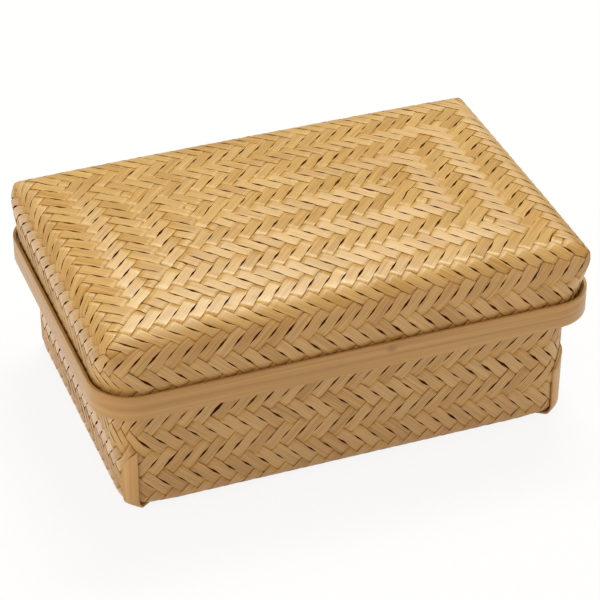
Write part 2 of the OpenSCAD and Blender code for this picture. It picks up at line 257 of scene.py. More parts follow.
# %% [markdown]
# ## Tracing the strips
# A strip comes up one wall, crosses the flat part and goes down another wall. Cells are counted
# along it from the first edge. Its path is found once from each end, and one of the two is kept.

# %% Trace every strip
def crossing(s, k, c, step):
    """Follow a strip from the edge cell c of side k across the flat part to its far edge cell."""
    l, w = (int(v) for v in s.count)
    x, y = [(c, -w), (l, c), (-c, w), (-l, -c)][k]
    dx, dy = [(-step, 1), (-1, -step), (step, -1), (1, step)][k]
    to_x, to_y = l - x * dx, w - y * dy
    cells = min(to_x, to_y)
    far = (1 if dx > 0 else 3) if to_x < to_y else (2 if dy > 0 else 0)
    fx, fy = x + cells * dx, y + cells * dy
    return SimpleNamespace(k=k, c=c, step=step, x=x, y=y, dx=dx, dy=dy, cells=cells, far=far,
                           far_c=[fx, fy, -fx, -fy][far], far_step=[dx, dy, -dx, -dy][far])


def trace(s):
    """All strips of a sheet, each once."""
    strips = []
    for k in range(4):
        n = int(s.count[k % 2])
        for c in range(1 - n, n, 2):
            for step in (-1, 1):
                t = crossing(s, k, c, step)
                if (t.k, t.c, t.step) <= (t.far, t.far_c, t.far_step):
                    strips.append(t)
    return strips


def at_cell(s, t, q):
    """Nearest side, place along it, row and step of strip t at its cell q."""
    if q < 0:
        return t.k, t.c - t.step * q, -q, t.step
    if q > t.cells:
        n = q - t.cells
        return t.far, t.far_c + t.far_step * n, n, t.far_step
    x, y = t.x + q * t.dx, t.y + q * t.dy
    to_x, to_y = s.count[0] - abs(x), s.count[1] - abs(y)
    k = (1 if x > 0 else 3) if to_x < to_y else (0 if y < 0 else 2)
    return k, [x, y, -x, -y][k], -min(to_x, to_y), t.dx * t.dy * (1 if k % 2 else -1)


lid_strips, body_strips = trace(LID), trace(BODY)
print(len(lid_strips), "strips in the lid,", len(body_strips), "in the body")

# %% [markdown]
# ## From path to ribbon
# Each strip becomes a thin ribbon. Where it changes from over to under, it slides through the gap
# between two neighbours in a little less than a cell. Primitives can't follow such paths, so its
# outer face is laid out as a grid of points: four lines along the strip, with a section wherever it
# bends. First come the sections.

# %% Place the sections of a strip
SLIDE = 0.42            # half the length of a change from over to under, in cells
SLIDE_SECTIONS = (-1, -0.4, 0.4, 1)
END_CLEAR = 0.6         # no section closer than this to a trimmed end, in cells


def smooth(t):
    """From 0 to 1, with a gentle start and end."""
    t = np.clip(t, 0, 1)
    return t * t * (3 - 2 * t)


def sections(states, first, start, end):
    """Places along a strip where it needs a section, and its smooth way from under to over."""
    marks, changes = [start, end], []
    for i in range(len(states) - 1):
        q = first + i
        marks += [q, q + 0.5]
        if states[i] != states[i + 1]:
            marks += [q + 0.5 + f * SLIDE for f in SLIDE_SECTIONS]
            changes.append((q + 0.5, states[i + 1] - states[i]))
    marks = [q for q in sorted(set(marks)) if start + END_CLEAR < q < end - END_CLEAR]
    marks = np.array([start - END_CLEAR, *marks, end + END_CLEAR])
    level = np.full(len(marks), float(states[0]))
    for q, change in changes:
        level += change * smooth((marks - q + SLIDE) / (2 * SLIDE))
    return marks, level


print("a lid strip dives in", round(2 * SLIDE * LID.row * math.sqrt(2), 2), "mm")

# %% [markdown]
# ## Slits
# Split strips are never quite straight, so between two neighbours a short dark slit stays open.
# Neighbours run side by side for two cells of their floats. In the middle of that stretch each gives
# up a little of its width, by chance, and elsewhere they press together.

# %% Open the slits
SLIT_WIDTH = (0.12, 0.27)   # least and most that one side of a strip gives up, as a share of that side
SLIT_REACH = 0.85       # half the length of a slit, in cells
SLIT_TAPER = 1.5        # the higher this is, the finer its ends


def slits(s, t, states, first, marks, chance):
    """How much narrower a strip is on its left and on its right, for each section and as a share."""
    loss = np.zeros((2, len(marks), 1))
    i = 0
    while i < len(states):
        j = i
        while j < len(states) and states[j] == states[i]:
            j += 1
        step = at_cell(s, t, first + (i + j - 1) // 2)[3]
        for side in (0, 1):
            width = chance.uniform(*SLIT_WIDTH) * states[i]
            middle = first + (i + j - 1) / 2 + (0.5 - side) * step
            loss[side, :, 0] += width * np.clip(1 - ((marks - middle) / SLIT_REACH)**2, 0, 1)**SLIT_TAPER
        i = j
    return loss


print("slits on the lid are", round(2 * SLIT_REACH * LID.row * math.sqrt(2), 1), "mm long")

# %% [markdown]
# ## The strips that hold the braces
# At each corner one strip stays on top for a cell more and passes over the end of a brace. It rises
# by the brace's thickness there and comes down to the weave on both sides.

# %% Lift the holding strips
TUCK_RISE = 1.15
TUCK_SIDE = 0.75        # a line of points belongs to the holding strip within this, in cells
TUCK_PAST = 1.2         # how far past its row the strip is still lifted, in cells
TUCK_CLEAR = 0.3        # it stays lifted this far beside the brace
TUCK_FADE = 4.2         # and comes down over this length


def tuck_lift(s, side, step, c, n, level):
    """How far the strip that holds a brace's end rises over it."""
    half = s.count[side % 2]
    from_corner = np.where(c > 0, c - half, c + half)
    holds = (np.abs(from_corner - (n - TUCK_ROW + 1)) < TUCK_SIDE) & (step > 0)
    rows = (n > TUCK_ROW - FLOAT_CELLS - 1) & (n < TUCK_ROW + TUCK_PAST)
    beside = np.abs(from_corner) * s.row - BRACE_WIDTH / 2
    rise = TUCK_RISE * (1 - smooth((beside - TUCK_CLEAR) / TUCK_FADE))
    return np.where(holds & rows, rise * level[:, None], 0)


print("the holding strips lie", round(base_level + TUCK_ROW * BODY.row, 1), "mm up")

# %% [markdown]
# ## Ribbons
# Now the four lines of points are laid along each strip. Its edges lie a little lower than its
# middle, as the curved wall of a bamboo stem does, and tip up or down by chance. Behind the hoops
# the outer and the inner layer spread to fill the rim.

# %% Lay one ribbon
ACROSS = np.array([-1.0, -0.6, 0.6, 1.0])
LAYER = 0.3             # half the distance between the outer and the inner layer
RIM_LAYER = 0.55
RIM_BLEND = 4.0
SKIN_CLEAR = 0.02       # the strips stay this far under the face of the CAD model
WIDTH_SHARE = 1.03      # a little more than its share, so that neighbours press together
WIDTH_CHANCE = 0.015
PLACE_CHANCE = 0.012
LIFT_CHANCE = 0.05
PINCH = 0.06            # share by which a strip narrows where it dives
STRAY = 0.02            # how far it strays from its line, in cells
STRAY_WAVE = 9.0
ROLL = 0.07             # how far its edges tip up or down
ROLL_WAVE = 6.0
EDGE_DROP = 0.1
STEM_LENGTH = 4000      # each strip shows another stretch of the grain of a long stem


def drift(chance, q, length):
    """Gentle chance along a strip, about one wave in this many cells."""
    a, b = chance.uniform(0, 2 * math.pi), chance.uniform(0, 2 * math.pi)
    return 0.6 * np.sin(2 * math.pi * q / length + a) + 0.4 * np.sin(2 * math.pi * q / (0.37 * length) + b)


def ribbon(s, t, chance):
    """Points, uv and under-ness of one strip's outer face."""
    rows = s.depth / s.row
    start, end = -rows, t.cells + rows
    first, last = math.floor(start) - 1, math.ceil(end) + 1
    states = [1 if over(s, *at_cell(s, t, q)) else 0 for q in range(first, last + 1)]
    marks, level = sections(states, first, start, end)
    width = 0.5 * (WIDTH_SHARE + chance.uniform(-1, 1) * WIDTH_CHANCE)
    shift = chance.uniform(-1, 1) * PLACE_CHANCE
    lift = np.array([chance.uniform(-1, 0) * LIFT_CHANCE for _ in marks])
    q = np.repeat(marks[:, None], len(ACROSS), axis=1)
    narrow = width * (1 - 4 * PINCH * level * (1 - level))
    left, right = narrow[:, None] * (1 - slits(s, t, states, first, marks, chance))
    w = ACROSS * np.where(ACROSS < 0, left, right)
    w = w + (shift + STRAY * drift(chance, marks, STRAY_WAVE))[:, None]
    # A trimmed end follows the rim, so each line along the strip stops where it meets it
    coming = q <= t.cells / 2
    n = np.where(coming, -q, q - t.cells)
    step = np.where(coming, t.step, t.far_step)
    side = np.where(coming, t.k, t.far)
    c0 = np.where(coming, t.c, t.far_c)
    sign = np.where(coming, 1, -1)
    n = np.minimum(n, rows + step * w * sign)
    c, n = c0 + step * n + sign * w, n - sign * step * w
    p = c * s.across[side % 2]
    v = n * np.where(n < 0, s.across[1 - side % 2], s.row)
    layer = LAYER + (RIM_LAYER - LAYER) * smooth((v - s.shaped) / RIM_BLEND)
    outer = SKIN - SKIN_CLEAR + lift[:, None]
    h = outer - 2 * layer * (1 - level[:, None]) - EDGE_DROP * np.abs(ACROSS)[None, :]**3
    h = h + ROLL * drift(chance, marks, ROLL_WAVE)[:, None] * ACROSS
    if s is BODY:
        h = h + tuck_lift(s, side, step, c, n, level)
    pitch = s.row * math.sqrt(2)
    along = q * pitch + chance.uniform(0, STEM_LENGTH)
    under = np.repeat(1 - level[:, None], len(ACROSS), axis=1)
    return on_sheet(s, side, p, v, h), np.stack([along, w * pitch], axis=-1), under


print("strips are", round(WIDTH_SHARE * LID.row * math.sqrt(2), 2), "mm wide on the lid")

# %% [markdown]
# ## Sheets of ribbons
# All strips of one lean become one mesh. A Solidify modifier gives them their thickness, and it also
# gives the inner side and the split edges materials of their own. Two attributes go along for the
# material: how far a point lies under, and the tone of its strip.

# %% Join the ribbons
TONE_RANGE = (0.25, 0.75)       # leaves room for streaks on both sides
SMOOTH_ANGLE = math.radians(40)


def weave(name, s, strips, seed):
    """One mesh of many ribbons, with a tone for each strip and an under value for its hidden parts."""
    chance = random.Random(seed)
    points, faces, uvs, under, tone = [], [], [], [], []
    start = 0
    for t in strips:
        pts, uv, below = ribbon(s, t, chance)
        m, n = pts.shape[:2]
        i, j = np.meshgrid(np.arange(m - 1), np.arange(n - 1), indexing="ij")
        a = (start + i * n + j).ravel()
        quad = np.stack([a, a + 1, a + n + 1, a + n], axis=-1)
        faces.append(quad if s.up < 0 else quad[:, ::-1])
        points.append(pts.reshape(-1, 3))
        uvs.append(uv.reshape(-1, 2))
        under.append(below.ravel())
        tone.append(np.full(m * n, chance.uniform(*TONE_RANGE)))
        start += m * n
    points, faces = np.concatenate(points) * MM, np.concatenate(faces)
    mesh = bpy.data.meshes.new(name)
    mesh.from_pydata(points.tolist(), [], faces.tolist())
    layer = mesh.uv_layers.new(name="UVMap")
    layer.data.foreach_set("uv", (np.concatenate(uvs) * MM)[faces.ravel()].ravel().astype(np.float32))
    for label, values in (("under", under), ("tone", tone)):
        attribute = mesh.attributes.new(label, "FLOAT", "POINT")
        attribute.data.foreach_set("value", np.concatenate(values).astype(np.float32))
    piece = bpy.data.objects.new(name, mesh)
    bpy.context.scene.collection.objects.link(piece)
    return piece


def only(piece):
    """Make one object the selected and active one, so that operators act on it alone."""
    bpy.ops.object.select_all(action="DESELECT")
    piece.select_set(True)
    bpy.context.view_layer.objects.active = piece


def thicken(piece, thickness):
    """Give a sheet its thickness on the inner side; inner faces and edges take the next two materials."""
    only(piece)
    solid = piece.modifiers.new("thickness", "SOLIDIFY")
    solid.thickness = thickness * MM
    solid.offset = -1
    solid.material_offset = 1
    solid.material_offset_rim = 2
    bpy.ops.object.modifier_apply(modifier=solid.name)
    bpy.ops.object.shade_smooth_by_angle(angle=SMOOTH_ANGLE)


print("tools for woven sheets are ready")

# %% [markdown]
# ## Bamboo
# Split bamboo is a bundle of straight fibres under a hard skin. To the eye it is straw to honey
# coloured, with fine darker lines along its length and some strips darker than others. Colours are
# written as seen on a screen, and one function turns them to the linear values of light. Patterns
# are noise that is drawn out along the strip, from the real width and length of a fibre or streak.

# %% Colours, nodes and grain
def linear(code):
    """Linear colour of an sRGB hex code."""
    parts = [int(code[i:i + 2], 16) / 255 for i in (1, 3, 5)]
    return (*[v / 12.92 if v <= 0.04045 else ((v + 0.055) / 1.055)**2.4 for v in parts], 1.0)


def add(tree, kind, sockets=(), **settings):
    """Add a node with its settings, and set or link its sockets, given by name or in their order."""
    node = tree.nodes.new(kind)
    for key, value in settings.items():
        setattr(node, key, value)
    by_key = sockets if isinstance(sockets, dict) else dict(enumerate(sockets))
    for key, value in by_key.items():
        if isinstance(value, bpy.types.NodeSocket):
            tree.links.new(value, node.inputs[key])
        else:
            node.inputs[key].default_value = value
    return node


def new_material(name):
    """A material, its node tree and its surface."""
    material = bpy.data.materials.new(name)
    material.use_nodes = True
    tree = material.node_tree
    return material, tree, tree.nodes["Principled BSDF"]


def bamboo_tone(tree, place, tones):
    """Colour at a place from 0 to 1 among the tones of one batch of bamboo."""
    node = add(tree, "ShaderNodeValToRGB", {"Fac": place})
    points = node.color_ramp.elements
    while len(points) < len(tones):
        points.new(0.5)
    for i, code in enumerate(tones):
        points[i].position = i / (len(tones) - 1)
        points[i].color = linear(code)
    return node.outputs["Color"]


def grain(tree, width, length, detail):
    """Noise drawn out along a strip, from a feature's real width and length in millimetres."""
    place = add(tree, "ShaderNodeTexCoord").outputs["UV"]
    stretch = (1 / (length * MM), 1 / (width * MM), 1)
    scaled = add(tree, "ShaderNodeMapping", {"Vector": place, "Scale": stretch}).outputs["Vector"]
    noise = add(tree, "ShaderNodeTexNoise", {"Vector": scaled, "Scale": 1.0, "Detail": detail})
    return noise.outputs["Fac"]


print("straw in linear light:", [round(v, 3) for v in linear("#cba059")[:3]])

# %% [markdown]
# ## The strips' finish
# A bundle of fibres gleams as combed hair does: its highlight is drawn out across the fibres. Of two
# strips that cross, the one that lies right for the light is bright and the other keeps its honey
# colour, and that draws the twill. Where a strip dives it turns from the light and loses its gloss.
# Where it lies under another hardly any light reaches it, so its hidden parts are painted dark, as shade.

# %% Finish the strips
FIBRE = (0.45, 40.0)            # width and length, drawn wider than real fibres so that they show
FIBRE_SHADE = (0.76, 1.16)      # darkest and lightest fibre, as a share of the strip's tone
FIBRE_BUMP = 0.45
FIBRE_RELIEF = 0.06
STREAK = (1.3, 30.0)
STREAK_SHIFT = (-0.25, 0.25)    # how far a streak's tone lies from its strip's
PATCH = (6.0, 9.0)
PATCH_SHIFT = (-0.2, 0.2)       # how much sooner or later the shade begins in a patch
NOISE_SPAN = (0.3, 0.7)         # nearly all values of the noise lie in here
SHADE_SPAN = (0.28, 0.85)       # part of the dive in which a strip passes into the shade
# Painted shade: the colour that the parts under other strips are darkened to
SHADOW = "#55290c"
GLOSS = 0.75                    # specular level of the hard skin
GLOSS_FADE = (0.02, 0.46)       # part of the dive in which the gloss is lost
WAX = 0.2                       # weight of the thin coat of wax
WAX_FADE = (0.0, 0.15)
WAX_ROUGHNESS = 0.3
ROUGHNESS_CHANGE = (-0.06, 0.1)
FIBRE_SHEEN = 0.9               # how far the highlight is drawn out
ACROSS_FIBRES = 0.25            # a quarter turn from the strip's length


def bamboo_strip(name, hidden, tones, roughness):
    """Split bamboo; hidden is 1 where the parts that lie under are painted dark as shade, and 0 where those
    over are.
    """
    material, tree, surface = new_material(name)
    fibres = grain(tree, *FIBRE, detail=3)
    streaks = grain(tree, *STREAK, detail=2)
    patches = grain(tree, *PATCH, detail=1)
    tone = add(tree, "ShaderNodeAttribute", attribute_name="tone").outputs["Fac"]
    under = add(tree, "ShaderNodeAttribute", attribute_name="under").outputs["Fac"]
    # The strip's own tone, its streaks and its fibres
    shift = add(tree, "ShaderNodeMapRange", (streaks, *NOISE_SPAN, *STREAK_SHIFT)).outputs["Result"]
    mixed = add(tree, "ShaderNodeMath", (tone, shift), operation="ADD").outputs["Value"]
    colour = bamboo_tone(tree, mixed, tones)
    shade = add(tree, "ShaderNodeMapRange", (fibres, *NOISE_SPAN, *FIBRE_SHADE)).outputs["Result"]
    lined = add(tree, "ShaderNodeHueSaturation", {"Color": colour, "Value": shade}).outputs["Color"]
    # Painted shade: the parts that other strips cover are darkened towards SHADOW
    uneven = add(tree, "ShaderNodeMapRange", (patches, *NOISE_SPAN, *PATCH_SHIFT)).outputs["Result"]
    depth = add(tree, "ShaderNodeMath", (under, uneven), operation="ADD").outputs["Value"]
    dark = add(tree, "ShaderNodeMapRange", (depth, *SHADE_SPAN, 1 - hidden, hidden)).outputs["Result"]
    shaded = add(tree, "ShaderNodeMix", {"Factor": dark, "A": lined, "B": linear(SHADOW)}, data_type="RGBA")
    tree.links.new(shaded.outputs[2], surface.inputs["Base Color"])
    # The gloss of the skin and of the wax on it goes where a strip dives
    fade = (*GLOSS_FADE, GLOSS, 0) if hidden else (1 - GLOSS_FADE[1], 1 - GLOSS_FADE[0], 0, GLOSS)
    gloss = add(tree, "ShaderNodeMapRange", (under, *fade)).outputs["Result"]
    tree.links.new(gloss, surface.inputs["Specular IOR Level"])
    wax = add(tree, "ShaderNodeMapRange", (under, *WAX_FADE, WAX, 0)).outputs["Result"]
    tree.links.new(wax, surface.inputs["Coat Weight"])
    surface.inputs["Coat Roughness"].default_value = WAX_ROUGHNESS
    finest, coarsest = (roughness + change for change in ROUGHNESS_CHANGE)
    rough = add(tree, "ShaderNodeMapRange", (fibres, *NOISE_SPAN, finest, coarsest)).outputs["Result"]
    tree.links.new(rough, surface.inputs["Roughness"])
    # Fibres throw a highlight that is drawn out across them
    lengthwise = add(tree, "ShaderNodeTangent", direction_type="UV_MAP").outputs["Tangent"]
    tree.links.new(lengthwise, surface.inputs["Tangent"])
    surface.inputs["Anisotropic"].default_value = FIBRE_SHEEN
    surface.inputs["Anisotropic Rotation"].default_value = ACROSS_FIBRES
    relief = {"Height": fibres, "Strength": FIBRE_BUMP, "Distance": FIBRE_RELIEF * MM}
    tree.links.new(add(tree, "ShaderNodeBump", relief).outputs["Normal"], surface.inputs["Normal"])
    return material


# The hard skin, scraped and waxed: straw to honey, satin, with a gleam across the fibres
SKIN_TONES = ["#b7883f", "#c1944b", "#cba059", "#d2aa66", "#c69b54"]
strip_skin = bamboo_strip("bamboo_strip_skin", 1, SKIN_TONES, roughness=0.4)
# The split inner side has no skin: paler and duller, it shows inside the box
INSIDE_TONES = ["#c9a36a", "#d8b984", "#e0c796"]
strip_inside = bamboo_strip("bamboo_strip_inner_side", 0, INSIDE_TONES, roughness=0.5)
# The split edges are rough, and painted dark brown as the shade in the gaps between strips, so they draw a
# thin line beside each strip
EDGE_SHADE_TONES = ["#8a5320", "#9c652c"]
strip_edge_shade = bamboo_strip("bamboo_strip_edge_painted_shade", 1, EDGE_SHADE_TONES, roughness=0.6)
print("strip materials:", strip_skin.name, strip_inside.name, strip_edge_shade.name)

# %% [markdown]
# ## Weaving
# The lid and the body each get two pieces, one for each lean of their strips. The first also stands
# for the closed sheet that the CAD model has under its floats, since whole strips need none.

# %% Weave the lid and the body
STRIP_THICKNESS = 0.42
WAYS = (("a", True, ("weave", "rising_strips")), ("b", False, ("falling_strips",)))


def is_one_way(t):
    """Strips are sorted by their lean across the flat part."""
    return t.dx * t.dy > 0


for body, s, strips, seed in (("lid", LID, lid_strips, 5), ("body", BODY, body_strips, 11)):
    for letter, way, nodes in WAYS:
        chosen = [t for t in strips if is_one_way(t) == way]
        piece = weave(f"{body}_strips_{letter}", s, chosen, seed + way)
        for material in (strip_skin, strip_inside, strip_edge_shade):
            piece.data.materials.append(material)
        thicken(piece, STRIP_THICKNESS)
        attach(piece, body)
        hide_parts(*[f"{body}_{node}" for node in nodes])
        print(piece.name, len(piece.data.polygons), "faces")

# %% [markdown]
# ## Hoops
# The hoops are long flat bands of bamboo bent round the rim after steaming. A box of the hoop's size
# has its four upright edges bevelled into the bends, loses its top and bottom, and gets the band's
# thickness from Solidify. A small bevel then breaks the edges. A profile swept along a curve would
# give the same band, but the box takes its size straight from the CAD node.

# %% Bend a band
BEND_SEGMENTS = 14
SOFT_ANGLE = math.radians(50)   # edges sharper than this are broken
HOOP_SOFT_EDGE = 0.3
LEVEL_FACE = 0.9                # faces whose normal is more upright than this are level


def choose(piece, kind, wanted):
    """In edit mode, select the edges or faces that are wanted and no others."""
    bpy.ops.mesh.select_mode(type=kind)
    bpy.ops.mesh.select_all(action="DESELECT")
    bm = bmesh.from_edit_mesh(piece.data)
    for element in bm.edges if kind == "EDGE" else bm.faces:
        if wanted(element):
            element.select_set(True)
    bmesh.update_edit_mesh(piece.data)


def finish_band(piece, thickness, soft_edge, segments, even):
    """Give a band its thickness on the inner side and break its edges."""
    only(piece)
    solid = piece.modifiers.new("thickness", "SOLIDIFY")
    solid.thickness = thickness * MM
    solid.offset = -1
    solid.use_even_offset = even
    bevel = piece.modifiers.new("soft edge", "BEVEL")
    bevel.width = soft_edge * MM
    bevel.segments = segments
    bevel.limit_method = "ANGLE"
    bevel.angle_limit = SOFT_ANGLE
    for modifier in (solid, bevel):
        bpy.ops.object.modifier_apply(modifier=modifier.name)
    bpy.ops.object.shade_smooth_by_angle(angle=SMOOTH_ANGLE)


def band(name, node, corner, thickness):
    """A bent hoop in place of a CAD band."""
    low, high = node_box(node)
    size, middle = high - low, (high + low) / 2
    upright = 0.5 * size[2] * MM
    bpy.ops.object.select_all(action="DESELECT")
    bpy.ops.mesh.primitive_cube_add(size=1, location=middle * MM, scale=size * MM)
    piece = bpy.context.active_object
    piece.name = piece.data.name = name
    bpy.ops.object.transform_apply(location=True, rotation=True, scale=True)
    bpy.ops.object.mode_set(mode="EDIT")
    choose(piece, "EDGE", lambda edge: abs(edge.verts[0].co.z - edge.verts[1].co.z) > upright)
    bpy.ops.mesh.bevel(offset=corner * MM, offset_type="OFFSET", segments=BEND_SEGMENTS, affect="EDGES")
    choose(piece, "FACE", lambda face: abs(face.normal.z) > LEVEL_FACE)
    bpy.ops.mesh.delete(type="ONLY_FACE")
    # A cut across the middle lets the UV map start at the front and end at the back
    bpy.ops.mesh.select_all(action="SELECT")
    bpy.ops.mesh.bisect(plane_co=(0, 0, 0), plane_no=(1, 0, 0))
    bpy.ops.object.mode_set(mode="OBJECT")
    finish_band(piece, thickness, HOOP_SOFT_EDGE, segments=3, even=True)
    unroll(piece, size[0] / 2, size[1] / 2, corner)
    return piece


print("bends have", BEND_SEGMENTS, "segments")

# %% [markdown]
# The grain runs along the band, so its UV map unrolls the hoop. It is measured in metres from the
# middle of the front, to the right and to the left, and the two ways meet in a seam at the back.

# %% Unroll a band
LID_HOOP_CORNER = 17.0
MIDDLE = 1e-6           # a point on the middle line counts as this far to the side of its face


def unrolled(x, y, l, w, r):
    """Distance round a rounded rectangle from the middle of its front, negative to the left."""
    px, py = abs(x) - (l - r), abs(y) - (w - r)
    if px > 0 and py > 0:
        place = l - r + r * math.atan2(px, py)
    elif py > 0 or px < py:
        place = abs(x)
    else:
        place = l - r + r * math.pi / 2 + (w - r - abs(y))
    quarter = l + w - 2 * r + r * math.pi / 2
    return math.copysign(place if y < 0 else 2 * quarter - place, x)


def unroll(piece, l, w, r):
    """UV map of a hoop: along the band and up it, in metres."""
    mesh = piece.data
    layer = mesh.uv_layers.active or mesh.uv_layers.new(name="UVMap")
    for face in mesh.polygons:
        for i in face.loop_indices:
            x, y, z = mesh.vertices[mesh.loops[i].vertex_index].co / MM
            x = math.copysign(max(abs(x), MIDDLE), face.center.x)
            layer.data[i].uv = (unrolled(x, y, l, w, r) * MM, z * MM)


half_round = unrolled(MIDDLE, hoop_high[1], *hoop_high[:2], LID_HOOP_CORNER)
print("the lid's hoop is", round(2 * half_round), "mm round")

# %% [markdown]
# ## The bands' finish
# Hoops and braces are planed smooth, so they show long fine grain and a soft even gloss. A stem of
# bamboo has a ring at each node, and where a band crosses one a small brown mark stays. The front of
# the lid's hoop has such a mark.

# %% Finish the bands
BAND_FIBRE = (0.5, 90.0)        # width and length, drawn wider than real fibres so that they show
BAND_SHADE = (0.9, 1.06)
BAND_BUMP = 0.2
BAND_RELIEF = 0.05
BAND_STREAK = (2.2, 120.0)
BAND_TONE_SPAN = (0.1, 0.9)
BAND_ROUGHNESS_CHANGE = (-0.05, 0.08)
NODE_PLACE = (13.5, 54.6)       # right of the middle of the front, and up
NODE_SIZE = (3.0, 2.2)          # half length and half height of the mark
NODE_FADE = (0.2, 1.0)          # it fades between these shares of its size
NODE_STRENGTH = 0.4
NODE_BROWN = "#6b4420"


def node_mark(tree, finish):
    """A colour with the brown mark of a node over it."""
    place = add(tree, "ShaderNodeTexCoord").outputs["UV"]
    centred = {"Vector": place, "Location": [-c / h for c, h in zip(NODE_PLACE, NODE_SIZE)] + [0],
               "Scale": [1 / (h * MM) for h in NODE_SIZE] + [1]}
    offset = add(tree, "ShaderNodeMapping", centred).outputs["Vector"]
    away = add(tree, "ShaderNodeVectorMath", (offset,), operation="LENGTH").outputs["Value"]
    brown = add(tree, "ShaderNodeMapRange", (away, *NODE_FADE, NODE_STRENGTH, 0)).outputs["Result"]
    mark = {"Factor": brown, "A": finish, "B": linear(NODE_BROWN)}
    return add(tree, "ShaderNodeMix", mark, data_type="RGBA").outputs[2]


def bent_bamboo(name, tones, roughness, marked=False):
    """A smooth band with fine long grain and a soft gloss."""
    material, tree, surface = new_material(name)
    fibres = grain(tree, *BAND_FIBRE, detail=3)
    streaks = grain(tree, *BAND_STREAK, detail=2)
    place = add(tree, "ShaderNodeMapRange", (streaks, *NOISE_SPAN, *BAND_TONE_SPAN)).outputs["Result"]
    colour = bamboo_tone(tree, place, tones)
    shade = add(tree, "ShaderNodeMapRange", (fibres, *NOISE_SPAN, *BAND_SHADE)).outputs["Result"]
    finish = add(tree, "ShaderNodeHueSaturation", {"Color": colour, "Value": shade}).outputs["Color"]
    if marked:
        finish = node_mark(tree, finish)
    tree.links.new(finish, surface.inputs["Base Color"])
    finest, coarsest = (roughness + change for change in BAND_ROUGHNESS_CHANGE)
    rough = add(tree, "ShaderNodeMapRange", (fibres, *NOISE_SPAN, finest, coarsest)).outputs["Result"]
    tree.links.new(rough, surface.inputs["Roughness"])
    relief = {"Height": fibres, "Strength": BAND_BUMP, "Distance": BAND_RELIEF * MM}
    tree.links.new(add(tree, "ShaderNodeBump", relief).outputs["Normal"], surface.inputs["Normal"])
    return material


# Planed, steamed and bent, the outer hoops are the darkest and smoothest bamboo of the box
HOOP_TONES = ["#b08549", "#bf9455", "#c9a061"]
hoop_bamboo = bent_bamboo("bent_bamboo_hoop_satin", HOOP_TONES, roughness=0.34, marked=True)
# The inner bands lie away from light and hands, so they stay pale and a little duller
inner_bamboo = bent_bamboo("bent_bamboo_inner_band", ["#cfae74", "#dabc86"], roughness=0.45)
# Braces keep the split skin: lighter than the hoops, with a soft gloss
brace_bamboo = bent_bamboo("split_bamboo_brace", ["#c19657", "#cfa566", "#d8b174"], roughness=0.38)
print("band materials:", hoop_bamboo.name, inner_bamboo.name, brace_bamboo.name)

# %% [markdown]
# ## Four hoops
# An outer and an inner hoop grip the rim of the lid, and two more that of the body. The lid's outer
# hoop is drawn thinner than its solid, so that the dark gap shows between it and the weave.

# %% Bend the hoops
HOOPS = (("lid_hoop_bent", "lid_hoop", "lid", LID_HOOP_CORNER, 1.3, hoop_bamboo, "hoops"),
         ("lid_inner_hoop_bent", "lid_inner_hoop", "lid", 13.7, 1.0, inner_bamboo, "inner_bands"),
         ("body_rim_hoop_bent", "body_rim_hoop", "body", 15.9, 1.0, hoop_bamboo, "hoops"),
         ("body_inner_hoop_bent", "body_inner_hoop", "body", 13.4, 1.0, inner_bamboo, "inner_bands"))
for name, node, body, corner, thickness, material, slot in HOOPS:
    piece = band(name, node, corner, thickness)
    piece.data.materials.append(material)
    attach(piece, body)
    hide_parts(node)
    print(piece.name, len(piece.data.polygons), "faces")

# %% [markdown]
# ## Braces
# Two flat strips cross under the base from corner to corner, turn up the corners and slip under a
# strip of the weave. Their side view is worked out first: along the table, round the bend and up the
# corner, with a hop at the middle for the one that passes over the other. At the corners the braces
# are pressed round, so that they lie close to the weave.

# %% Work out the side view of a brace
BRACE_BEND = 3.5
BRACE_RAMP = 8.0        # length of the way up to the crossing for each millimetre of height
BEND_POINTS = 13
body_l, body_w = BODY.half
brace_turn = math.atan2(body_w, body_l)
brace_foot = BRACE_THICKNESS + BRACE_BEND
foot_short, rim_short = (r * (math.cos(brace_turn) + math.sin(brace_turn) - 1) for r in BODY.corner)
brace_slope = (END_LEAN * math.cos(brace_turn) - rim_short + foot_short) / BODY.shaped
brace_end = (body_l * math.cos(brace_turn) + body_w * math.sin(brace_turn) - foot_short
             + SKIN + BRACE_GAP + BRACE_THICKNESS)
brace_crossing = BRACE_WIDTH / 2 / math.tan(brace_turn) + BRACE_GAP
tuck_height = base_level + (TUCK_ROW - 1) * BODY.row


def brace_path(hop):
    """Outer side of half a brace from the middle to its end: distance from the middle, height."""
    path = [(0, hop), (brace_crossing, hop), (brace_crossing + BRACE_RAMP * hop, 0)] if hop else [(0, 0)]
    path += [(brace_end - brace_foot + brace_foot * math.sin(a), brace_foot - brace_foot * math.cos(a))
             for a in np.linspace(0, math.pi / 2, BEND_POINTS)]
    climb = tuck_height + BRACE_WIDTH
    return np.array(path + [(brace_end + brace_slope * climb, brace_foot + climb)])


def corner_reach(t, height):
    """How far out a brace lies where it is pressed round a corner, t beside its midline."""
    climb = min(1, max(0, height - base_level) / BODY.shaped)
    r = BODY.corner[0] + (BODY.corner[1] - BODY.corner[0]) * climb
    x, y = body_l - r + END_LEAN * climb, body_w - r
    ahead = x * math.cos(brace_turn) + y * math.sin(brace_turn)
    aside = y * math.cos(brace_turn) - x * math.sin(brace_turn)
    return ahead + math.sqrt((r + SKIN + BRACE_GAP + BRACE_THICKNESS)**2 - (t - aside)**2)


print("braces reach", round(brace_end, 1), "mm from the middle and", round(tuck_height, 1), "mm up")

# %% [markdown]
# Each brace starts as a flat grid whose columns are then laid along that side view. The ends are cut
# on the slant of the strip that holds them, so one side of an end is longer than the other.

# %% Lay the braces
BRACE_COLUMNS = 120     # on each side of the middle
BRACE_ROWS = 4
BRACE_SOFT_EDGE = 0.25


